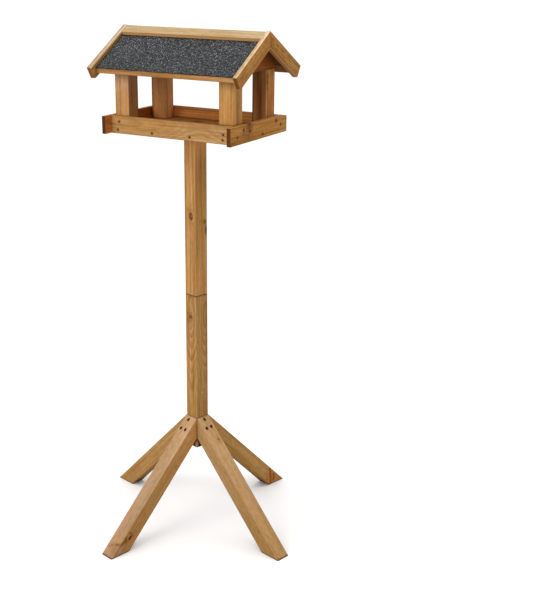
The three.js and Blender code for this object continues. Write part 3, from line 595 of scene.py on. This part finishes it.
def make_uprights():
    dark = (0.055, 0.017, 0.003)
    edge = (0.120, 0.045, 0.012)
    red = (0.130, 0.043, 0.010)
    # each post's ramp lightens it toward its top under the eaves: painted light against the eaves' shade
    looks = {
        ("front", "left"): dict(
            seed=83, pith=(20, 55), ring=4.8, warp=4, grain=0.48, streak=0.36, pink=0.6, lines=1.1,
            tint=(0.93, 0.93, 1.01), ramps=[(0, 70, (1.38, 1.54, 2.25))], faces=[("v+", (1.22, 1.17, 1.24))],
            stains=[(0, 25, 0, 400, 3.5, 60, (0.36, 0.135, 0.038), 0.72), (0, 23, 22.0, 400, 5, 3.4, edge, 0.6), (20, 23, -8, 60, 4, 4, red, 0.45)]),
        ("front", "right"): dict(
            seed=89, pith=(-14, 60), ring=4.6, warp=4, grain=0.75, streak=0.5, pink=0.4, lines=1.2,
            tint=(1.03, 0.97, 0.90), faces=[("v+", (1.04, 1.12, 1.22))], ramps=[(0, 70, (1.17, 1.22, 1.36))]),
        ("back", "left"): dict(
            seed=97, pith=(18, 50), ring=4.8, warp=5, grain=0.55, streak=0.5, pink=0.3, tint=(1.19, 1.03, 1.12), lines=1.2, faces=[("v+", (1.42, 1.44, 1.40))],
            ramps=[(0, 70, (1.04, 1.13, 1.36))],
            stains=[(0, -23, -23, 400, 5, 6, dark, 0.9), (65, 0, -23, 60, 40, 7, (0.225, 0.090, 0.040), 0.5),
                    (-20, 19, -23, 80, 4, 6, (0.52, 0.29, 0.085), 0.7), (-10, 23, -10, 70, 5, 3, red, 0.55), (0, 23, 23.0, 400, 5, 3.2, edge, 0.6),
                    (10, 24, 4, 90, 3, 9, (0.52, 0.29, 0.13), 0.7)]),
        ("back", "right"): dict(
            seed=101, pith=(50, 16), ring=4.8, warp=5, grain=0.65, streak=0.5, pink=0.1, tint=(0.98, 0.92, 0.86), lines=1.2,
            faces=[("v+", (0.96, 0.77, 0.66))], ramps=[(0, 70, (1.38, 1.62, 1.78))],
            stains=[(0, -6, -23, 400, 30, 7, (0.245, 0.080, 0.021), 0.9), (0, -23, -23, 400, 4, 6, dark, 0.9),
                    (0, -14, -23, 400, 3.5, 5, (0.36, 0.145, 0.055), 0.7), (-10, 13, -23, 90, 6, 5, (0.36, 0.125, 0.042), 0.8), (-20, 3, -23, 70, 6, 5, dark, 0.75),
                    (-10, 22.5, -23, 64, 3.0, 3.0, (0.62, 0.33, 0.16), 0.95), (80, 22, -23, 14, 5, 6, (0.46, 0.24, 0.12), 0.8),
                    (66, 23, -17.5, 8, 6, 4.0, (0.11, 0.024, 0.003), 1.0), (50, 23, -18, 7, 6, 4.0, (0.12, 0.026, 0.003), 1.0), (34, 23, -18.5, 6, 6, 3.6, (0.15, 0.036, 0.005), 0.8), (0, 23, 22.5, 400, 5, 3.2, edge, 0.55)]),
    }
    for (fy, fx), look in looks.items():
        # painted shade: a dark line where the outer faces meet the tops of the rails
        rail_top_shade, amount = (0.16, 0.062, 0.014), 0.8 if (fy, fx) == ("front", "right") else 0.25
        look["stains"] = look.get("stains", []) + [
            (-45.5, 0, 23.5 if fy == "back" else -23.5, 2.6, 90, 3, rail_top_shade, amount), (-45.5, 23.5 if fx == "right" else -23.5, 0, 2.6, 3, 90, rail_top_shade, amount)]
        x = (CP_X - CPOST / 2) * (1 if fx == "right" else -1)
        y = (CP_Y - CPOST / 2) * (1 if fy == "back" else -1)
        node = f"{fy}_{fx}_corner_post"
        timber(node, (x, y, 1305), (0, 0, 1), (1, 0, 0), 1.1, softwood("wood_" + node, **look))
    for fx, s in (("left", -1), ("right", 1)):
        timber(fx + "_gable_board", (s * (CP_X - 6), 0, 1430), (0, 1, 0), (0, 0, 1), 0.8, softwood(
            f"wood_{fx}_gable", 103 + s, (-40, s * 50), ring=5.0, warp=10, grain=0.6, streak=0.5, pink=0.0, tint=(0.75, 0.43, 0.24),
            half=(40, 6), mottle=1.5))


def make_roof():
    bar = (0.150, 0.058, 0.018)
    for f, s in (("front", -1), ("back", 1)):
        down = Vector((0, s * COSP, -SINP))
        y, z = roof_point(s, 100, 18)
        timber(f + "_roof_panel", (0, y, z), (1, 0, 0), down, 0.5, softwood(
            f"wood_{f}_panel", 107 + s, (20, 80 * s), ring=6.5, warp=14, grain=0.6, streak=0.4, pink=0.0, tint=(0.32, 0.215, 0.145), half=(70, 5)))
        timber(f + "_eave_rail", (0, s * 140, 1386), (1, 0, 0), (0, 0, 1), 0.9, softwood(
            f"wood_{f}_eave", 113 + s, (-30, -40), ring=4.6, warp=8, grain=0.6, streak=0.5, pink=0.3, half=(14, 10), tint=(0.93, 0.87, 0.92),
            lines=1.2, ramps=[(90, 210, (0.97, 1.11, 1.34))],
            # painted shade: a dark line along the top of the front face under the felt's edge, and a darker line toward
            # its bottom
            stains=[(0, 7.2, -10.6 * s, 900, 1.6, 4, (0.06, 0.024, 0.006), 0.7), (0, -8, -10.6 * s, 900, 1.8, 4, (0.16, 0.066, 0.018), 0.5)]))
        y, z = roof_point(s, 17, 6.5)
        timber(f + "_ridge_board", (0, y, z), (1, 0, 0), down, 0.9, softwood(
            f"wood_{f}_ridge", 127 + s, (14, 60 * s), ring=5.4, warp=8, grain=0.38, streak=0.3, pink=0.6, bleach_and_highlight=0.95, lines=0.7,
            # painted light and shade on the lower edge face: the first stain lightens it, and the second is a darker
            # line where it meets the top face
            half=(17, 5), ramps=[(-240, -190, (0.94, 0.96, 1.0)), (-140, -60, (1.0, 0.98, 0.92)), (90, 190, (1.10, 1.15, 1.24))], stains=[(0, 17, 0, 900, 1.8, 30, (0.60, 0.33, 0.135), 1.0), (0, 16.6, 5 * s, 900, 1.1, 1.6, (0.34, 0.155, 0.055), 0.9)]))
        for g, sx in (("left", -1), ("right", 1)):
            y, z = roof_point(s, 100, 19)
            # painted light and shade on the bargeboards' edges: the pale patches are painted highlights, and the dark
            # lines are painted shade where the felt meets them
            edge_highlight_and_shade = [(85, 0, -19.2 * s, 50, 12, 2.0, (0.68, 0.50, 0.31), 0.2), (0, -6.5, -19 * s, 900, 1.6, 2.2, bar, 0.7)] if sx > 0 else [
                (0, 6.5, -16.8 * s, 900, 2.5, 3.4, (0.84, 0.60, 0.37), 1.0), (0, 6.5, -11.2 * s, 900, 2.2, 1.9, (0.14, 0.055, 0.012), 0.8)]
            timber(f"{f}_{g}_bargeboard", (sx * (BARGE_X - 6.25), y, z), down, (1, 0, 0), 1.0, softwood(
                f"wood_{f}_{g}_barge", 131 + 7 * s + sx, (sx * 20, 48), ring=3.4, warp=7, grain=0.95, streak=0.5, pink=0.2, bleach_and_highlight=0.9,
                tint=(0.97, 0.85, 0.61) if s < 0 else (0.97, 0.88, 0.69), ramps=[(-30, 80, (0.93, 0.93, 0.93) if sx > 0 else (0.98, 1.0, 1.0))], faces=[("v+" if sx > 0 else "v-", (0.97, 0.96, 0.97) if s < 0 else (0.97, 0.97, 0.99))], end=(0.215, 0.072, 0.013) if g == "right" else (0.245, 0.100, 0.034), half=(6.25, 19),
                pale=(0.580, 0.412, 0.232) if g == "right" else (0.340, 0.266, 0.158), lines=1.8, mottle=3.0, bands=[(-100, 0.9, 0.7)],
                stains=[(0, 0, 19.5 * s, 900, 40, 2.2, (0.50, 0.27, 0.11), 0.85)] + edge_highlight_and_shade))


# ------------------------------------------------------------------ felt
def felt_material():
    mat, t = new_material("mineral_felt")
    tc = t.new("ShaderNodeTexCoord")
    p = tc.outputs["Object"]
    grit = t.new("ShaderNodeTexVoronoi", feature="F1", voronoi_dimensions="3D")
    t.put(grit.inputs["Vector"], p)
    grit.inputs["Scale"].default_value = 720.0
    rnd = t.xyz(grit.outputs["Color"])[0]
    fine = t.noise(p, 520.0, 2.0, 0.7)
    clump = t.noise(p, 165.0, 2.0, 0.55)
    slow = t.noise(p, 9.0, 3.0, 0.5)
    dark = t.mix(t.remap(rnd, 0.0, 0.85), (0.004, 0.005, 0.007), (0.025, 0.026, 0.030))
    light = t.mix(t.remap(fine, 0.3, 0.7), (0.105, 0.108, 0.114), (0.295, 0.295, 0.294))
    colour = t.mix(t.remap(t.add(rnd, t.mul(t.sub(clump, 0.5), 0.5)), 0.83, 0.88), dark, light)
    k = t.mul(t.remap(clump, 0.3, 0.7, 0.52, 1.48, False), t.remap(slow, 0.3, 0.7, 0.92, 1.08, False))
    colour = t.mix(1.0, colour, t.join(k, k, k), "MULTIPLY")
    edge = t.new("ShaderNodeAttribute", attribute_name="edge")
    colour = t.mix(edge.outputs["Fac"], colour, (0.010, 0.009, 0.009))
    # a little darker toward the eaves, where it stays wet longest
    fall = t.remap(t.math("ABSOLUTE", t.xyz(p)[1]), 50 * MM, 140 * MM, 1.0, 0.82)
    colour = t.mix(1.0, colour, t.join(fall, fall, fall), "MULTIPLY")
    # painted shade: darker where the felt meets the bargeboards and the ridge boards
    x, y, _ = t.xyz(p)
    side = t.remap(t.math("ABSOLUTE", x), (ROOF_X - 4.2) * MM, (ROOF_X - 2.2) * MM)
    ridge = t.remap(t.math("ABSOLUTE", y), 24.6 * MM, 26.4 * MM, 1.0, 0.0)
    colour = t.mix(t.mul(t.math("MAXIMUM", side, ridge), 0.8), colour, (0.008, 0.007, 0.006))
    h = t.add(t.mul(t.sub(1.0, grit.outputs["Distance"]), 1.0), t.mul(fine, 0.6))
    t.surface(colour, t.remap(fine, 0.3, 0.7, 0.72, 0.95, False), t.bump(h, 0.0007, 0.9), specular=0.35)
    return mat


def make_felt():
    """One sheet folded over the ridge. It lies on the panels, a little uneven, with a cut lower edge."""
    rnd = random.Random(5)
    half_x = ROOF_X - 1.2
    nx, nu = 150, 64
    # profile stations along the sheet, from the front edge over the fold to the back edge
    fold = 9.0
    stations = []
    for s in (-1, 1):
        us = [fold + (FELT_U - fold) * (i / nu) for i in range(nu + 1)]
        stations.append([(s, q) for q in us])
    line = list(reversed(stations[0])) + [("fold", k) for k in (-0.66, -0.33, 0.0, 0.33, 0.66)] + stations[1]

    def at(st, n, x):
        if st[0] == "fold":
            k = st[1]
            y0, z0 = roof_point(1, fold, n)
            zt = APEX_Z - n / COSP
            # a round fold that passes just under the sharp crease
            y = y0 * k
            z = z0 + (zt - z0) * (1 - k * k) * 0.62
            return Vector((x, y, z))
        s, q = st
        y, z = roof_point(s, q, n)
        return Vector((x, y, z))

    bm = bmesh.new()
    rows_top, rows_bot = [], []
    for j, st in enumerate(line):
        top, bot = [], []
        for i in range(nx + 1):
            x = -half_x + 2 * half_x * i / nx
            q = FELT_U if st[0] == "fold" else st[1]
            dn = 0.0
            du = 0.0
            if st[0] != "fold":
                open_ = min(1.0, max(0.0, (q - RIDGE_W - 3) / 12.0))
                side = min(1.0, (half_x - abs(x)) / 6.0)
                p = Vector((x * 0.012, q * 0.012, 3.1 * st[0]))
                dn = 0.30 * open_ * noise.noise(p) + 0.16 * open_ * noise.noise(p * 9.0)
                dn = max(-0.35, min(0.25, dn)) * (0.4 + 0.6 * side)
                if q > FELT_U - 14:
                    # the free edge droops a trace and is cut by hand
                    k = (q - (FELT_U - 14)) / 14
                    du = k * (0.7 * noise.noise(Vector((x * 0.03, 7.0, st[0]))) + 0.25 * noise.noise(Vector((x * 0.2, 9.0, st[0]))) - 0.5)
                    dn += k * k * 0.5 * (0.4 + noise.noise(Vector((x * 0.018, 2.0, st[0]))))
                moved = (st[0], q + du)
            else:
                moved = st
            top.append(bm.verts.new(at(moved, N_FELT + 0.05 + dn, x) * MM))
            bot.append(bm.verts.new(at(moved, N_FELT + FELT_T - 0.05 + (dn if q > FELT_U - 14 and st[0] != "fold" else 0.0), x) * MM))
        rows_top.append(top)
        rows_bot.append(bot)
    m = len(line)
    edge_faces = []
    for j in range(m - 1):
        for i in range(nx):
            bm.faces.new((rows_top[j][i], rows_top[j][i + 1], rows_top[j + 1][i + 1], rows_top[j + 1][i]))
            bm.faces.new((rows_bot[j][i], rows_bot[j + 1][i], rows_bot[j + 1][i + 1], rows_bot[j][i + 1]))
        edge_faces.append(bm.faces.new((rows_top[j][0], rows_top[j + 1][0], rows_bot[j + 1][0], rows_bot[j][0])))
        edge_faces.append(bm.faces.new((rows_top[j][nx], rows_bot[j][nx], rows_bot[j + 1][nx], rows_top[j + 1][nx])))
    for i in range(nx):
        edge_faces.append(bm.faces.new((rows_top[0][i], rows_bot[0][i], rows_bot[0][i + 1], rows_top[0][i + 1])))
        edge_faces.append(bm.faces.new((rows_top[m - 1][i], rows_top[m - 1][i + 1], rows_bot[m - 1][i + 1], rows_bot[m - 1][i])))
    bmesh.ops.recalc_face_normals(bm, faces=bm.faces)
    marked = set(edge_faces)
    vals = [1.0 if f in marked else 0.0 for f in bm.faces]
    for f in bm.faces:
        f.smooth = f not in marked
    for e in bm.edges:
        e.smooth = not (e.calc_face_angle(0) > math.radians(50))
    me = bpy.data.meshes.new("felt_sheet")
    bm.to_mesh(me)
    bm.free()
    a = me.attributes.new("edge", "FLOAT", "FACE")
    a.data.foreach_set("value", vals)
    me.materials.append(felt_material())
    ob = bpy.data.objects.new("felt_sheet", me)
    bpy.context.scene.collection.objects.link(ob)
    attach(ob, "root")
    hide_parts("roof_felt")
    return ob


# ------------------------------------------------------------------ fixings
def steel_material(name="darkened_steel", base=(0.100, 0.034, 0.003), rust=(0.125, 0.040, 0.004), metal=0.22, rough=0.65):
    mat, t = new_material(name)
    tc = t.new("ShaderNodeTexCoord")
    p = tc.outputs["Object"]
    n = t.noise(p, 900.0, 3.0, 0.6)
    m = t.noise(p, 2600.0, 2.0, 0.6)
    colour = t.mix(t.remap(n, 0.40, 0.66), base, rust)
    t.surface(colour, t.remap(m, 0.3, 0.7, rough - 0.12, rough + 0.12, False), t.bump(m, 0.0001, 0.5),
              metallic=t.remap(n, 0.42, 0.66, metal, 0.2, False), specular=0.12)
    return mat


def disc_head(radius, rim, height, cross=None, rings=9, spokes=48):
    """Heights of a round head from its middle to its rim, as (r, angle, z) rows; cross is (arm width, arm length, depth)."""
    rows = []
    for k in range(rings + 1):
        r = radius * k / rings
        row = []
        for i in range(spokes):
            a = 2 * math.pi * i / spokes
            z = height * (1 - (r / radius) ** 2)
            if r > radius - rim:
                e = (r - (radius - rim)) / rim
                z -= rim * 0.8 * (1 - math.sqrt(max(0.0, 1 - e * e)))
            if cross:
                aw, al, dp = cross
                x, y = abs(r * math.cos(a)), abs(r * math.sin(a))
                arm = max(min(1 - x / al, 1.0) * (1 if y < aw else max(0.0, 1 - (y - aw) / 0.18)),
                          min(1 - y / al, 1.0) * (1 if x < aw else max(0.0, 1 - (x - aw) / 0.18)))
                arm = max(0.0, arm)
                z -= dp * min(1.0, arm * 1.6)
            row.append((r * math.cos(a), r * math.sin(a), z))
            if k == 0:
                break
        rows.append(row)
    return rows


def turned_with_head(bm, rows, profile, spokes=48):
    """Closes a head made by disc_head with a turned shank: profile is [(r, z)] from the rim down to the tip."""
    rings = []
    centre = bm.verts.new(Vector(rows[0][0]) * MM)
    for row in rows[1:]:
        rings.append([bm.verts.new(Vector(q) * MM) for q in row])
    for r, z in profile[:-1]:
        rings.append([bm.verts.new(Vector((r * math.cos(2 * math.pi * i / spokes), r * math.sin(2 * math.pi * i / spokes), z)) * MM) for i in range(spokes)])
    tip = bm.verts.new(Vector((0, 0, profile[-1][1])) * MM)
    for i in range(spokes):
        j = (i + 1) % spokes
        bm.faces.new((centre, rings[0][i], rings[0][j]))
        for a, b in zip(rings, rings[1:]):
            bm.faces.new((a[i], b[i], b[j], a[j]))
        bm.faces.new((rings[-1][i], tip, rings[-1][j]))
    bmesh.ops.recalc_face_normals(bm, faces=bm.faces)


def place_fixing(name, mesh, at, out, spin, node=None):
    """A fixing whose own +Z points out of the wood, put with its head's face at `at`."""
    out = Vector(out).normalized()
    q = out.to_track_quat("Z", "Y").to_matrix().to_4x4() @ Matrix.Rotation(spin, 4, "Z")
    me = mesh.copy()
    me.name = name
    me.transform(Matrix.Translation(Vector(at) * MM) @ q)
    ob = bpy.data.objects.new(name, me)
    bpy.context.scene.collection.objects.link(ob)
    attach(ob, "root")
    if node:
        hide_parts(node)
    return ob


def smooth_by_angle(me, degrees=35):
    bm = bmesh.new()
    bm.from_mesh(me)
    for f in bm.faces:
        f.smooth = True
    for e in bm.edges:
        e.smooth = not (e.calc_face_angle(0) > math.radians(degrees))
    bm.to_mesh(me)
    bm.free()


def make_fixings():
    rnd = random.Random(17)
    steel = steel_material()
    # nails: a slightly domed flat head over a plain shank
    bm = bmesh.new()
    turned_with_head(bm, disc_head(2.85, 0.35, 0.22), [(2.85, -0.9), (1.35, -1.4), (1.3, -34.5), (0, -37.5)])
    nail = bpy.data.meshes.new("nail")
    bm.to_mesh(nail)
    bm.free()
    smooth_by_angle(nail)
    nail.materials.append(steel)
    sink = 0.45
    for side, axis, at in (
        ("front", (0, -1, 0), lambda c, h: (c, -LONG_Y + sink, TRAY_Z + h)),
        ("back", (0, 1, 0), lambda c, h: (c, LONG_Y - sink, TRAY_Z + h)),
        ("right", (1, 0, 0), lambda c, h: (END_X - sink, c, TRAY_Z + h)),
        ("left", (-1, 0, 0), lambda c, h: (-END_X + sink, c, TRAY_Z + h)),
    ):
        for tag, c, h in NAILS[side]:
            node = f"{side}_nail_{tag}"
            place_fixing(node + "_head", nail, at(c, h), axis, rnd.uniform(0, 6.28), node)
    # countersunk screws with a cross recess, in the legs' counterbores
    screws = {}
    # the screws' steel is painted near black: painted shade of the counterbores they sit in, over darkened steel
    screw_steel_painted_dark = steel_material("screw_steel", (0.018, 0.008, 0.003), (0.030, 0.011, 0.003), 0.3, 0.7)
    for length in (22, 34, 36):
        bm = bmesh.new()
        turned_with_head(bm, disc_head(3.25, 0.25, 0.0, cross=(0.42, 2.1, 1.5), rings=16, spokes=72),
                         [(3.25, -0.35), (2.0, -2.6), (1.95, -(length - 4)), (0, -(length - 0.2))], spokes=72)
        me = bpy.data.meshes.new("screw")
        bm.to_mesh(me)
        bm.free()
        smooth_by_angle(me)
        me.materials.append(screw_steel_painted_dark)
        screws[length] = me
    fixings = {
        "front_left_leg": (-90, [(-4.4, 15.6, 22), (-13.1, 47.9, 36), (5.5, 47.9, 36)]),
        "front_right_leg": (0, [(0.8, 13.4, 22), (9.5, 41.4, 34), (-9.5, 41.4, 34)]),
        "back_right_leg": (90, [(0, 15.6, 22), (9.5, 47.9, 36), (-9.5, 47.9, 36)]),
        "back_left_leg": (180, [(0, 13.4, 22), (9.5, 41.4, 34), (-9.5, 41.4, 34)]),
    }
    for leg, (extra, rows) in fixings.items():
        out = turn(1, 0, 0, extra)
        for i, (across, along, length) in enumerate(rows):
            x = LEG_R0 + along / math.sqrt(2) - 4.3
            at = turn(x, across, LEG_TOP_Z - along / math.sqrt(2), extra)
            place_fixing(f"{leg}_screw_{i + 1}_head", screws[length], at, out, rnd.uniform(0, 6.28), f"{leg}_screw_{i + 1}")
    # the coach screw and its washer keep their shape, with a small chamfer
    for node, width in (("head_coach_screw", 0.45), ("head_washer", 0.3)):
        src = NODES[node].data
        bm = bmesh.new()
        bm.from_mesh(src)
        bmesh.ops.remove_doubles(bm, verts=bm.verts, dist=2e-6)
        bmesh.ops.dissolve_limit(bm, angle_limit=math.radians(1.0), verts=bm.verts, edges=bm.edges, use_dissolve_boundaries=False)
        edges = [e for e in bm.edges if len(e.link_faces) == 2 and e.calc_face_angle(0) > math.radians(45)]
        bmesh.ops.bevel(bm, geom=edges, offset=width * MM, offset_type="OFFSET", segments=2, profile=0.5, affect="EDGES", clamp_overlap=True)
        me = bpy.data.meshes.new(node + "_steel")
        bm.to_mesh(me)
        bm.free()
        smooth_by_angle(me)
        me.materials.append(steel)
        ob = bpy.data.objects.new(node + "_steel", me)
        bpy.context.scene.collection.objects.link(ob)
        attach(ob, "root")
        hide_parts(node)


# ------------------------------------------------------------------ studio
def make_studio():
    """A soft sky of light, one broad lamp from the front left above, and a pale floor."""
    world = bpy.data.worlds.new("studio")
    bpy.context.scene.world = world
    world.use_nodes = True
    t = Tree(world.node_tree)
    tc = t.new("ShaderNodeTexCoord")
    z = t.xyz(tc.outputs["Generated"])[2]
    up = t.math("MAXIMUM", z, 0.0)
    level = t.math("MULTIPLY_ADD", up, 0.94, 0.56)
    light = t.new("ShaderNodeBackground")
    t.put(light.inputs["Color"], t.join(level, level, level))
    seen = t.new("ShaderNodeBackground")
    seen.inputs["Color"].default_value = (1, 1, 1, 1)
    seen.inputs["Strength"].default_value = 1.02
    path = t.new("ShaderNodeLightPath")
    mixed = t.new("ShaderNodeMixShader")
    t.t.links.new(path.outputs["Is Camera Ray"], mixed.inputs[0])
    t.t.links.new(light.outputs[0], mixed.inputs[1])
    t.t.links.new(seen.outputs[0], mixed.inputs[2])
    out = t.new("ShaderNodeOutputWorld")
    t.t.links.new(mixed.outputs[0], out.inputs["Surface"])

    lamp = bpy.data.lights.new("key", "AREA")
    lamp.shape, lamp.size = "DISK", 1.9
    lamp.energy = 36.9
    lamp.color = (1.0, 0.985, 0.96)
    ob = bpy.data.objects.new("key", lamp)
    to = Vector((-0.30, -0.85, 0.43)).normalized()
    ob.location = Vector((0, 0, 1.35)) + to * 2.6
    ob.rotation_euler = to.to_track_quat("Z", "Y").to_euler()
    bpy.context.scene.collection.objects.link(ob)

    me = bpy.data.meshes.new("studio_floor")
    n = 96
    rad = 150.0
    verts = [(rad * math.cos(2 * math.pi * i / n), rad * math.sin(2 * math.pi * i / n), 0.0) for i in range(n)]
    me.from_pydata(verts, [], [list(range(n))])
    mat, t = new_material("studio_floor")
    # the floor looks near white, yet throws back less light, as a floor does under a lit stand in a dark room
    pale = t.new("ShaderNodeBsdfDiffuse")
    pale.inputs["Color"].default_value = (0.89, 0.89, 0.89, 1)
    dim = t.new("ShaderNodeBsdfDiffuse")
    dim.inputs["Color"].default_value = (0.42, 0.42, 0.42, 1)
    path = t.new("ShaderNodeLightPath")
    both = t.new("ShaderNodeMixShader")
    t.t.links.new(path.outputs["Is Camera Ray"], both.inputs[0])
    t.t.links.new(dim.outputs[0], both.inputs[1])
    t.t.links.new(pale.outputs[0], both.inputs[2])
    out = t.new("ShaderNodeOutputMaterial")
    t.t.links.new(both.outputs[0], out.inputs["Surface"])
    me.materials.append(mat)
    floor = bpy.data.objects.new("studio_floor", me)
    bpy.context.scene.collection.objects.link(floor)
    view = bpy.context.scene.view_settings
    view.view_transform = "Standard"
    view.look = "None"
    view.exposure = 0.0
    view.gamma = 1.0


make_camera()
make_studio()
make_stand()
make_tray()
make_uprights()
make_roof()
make_felt()
make_fixings()
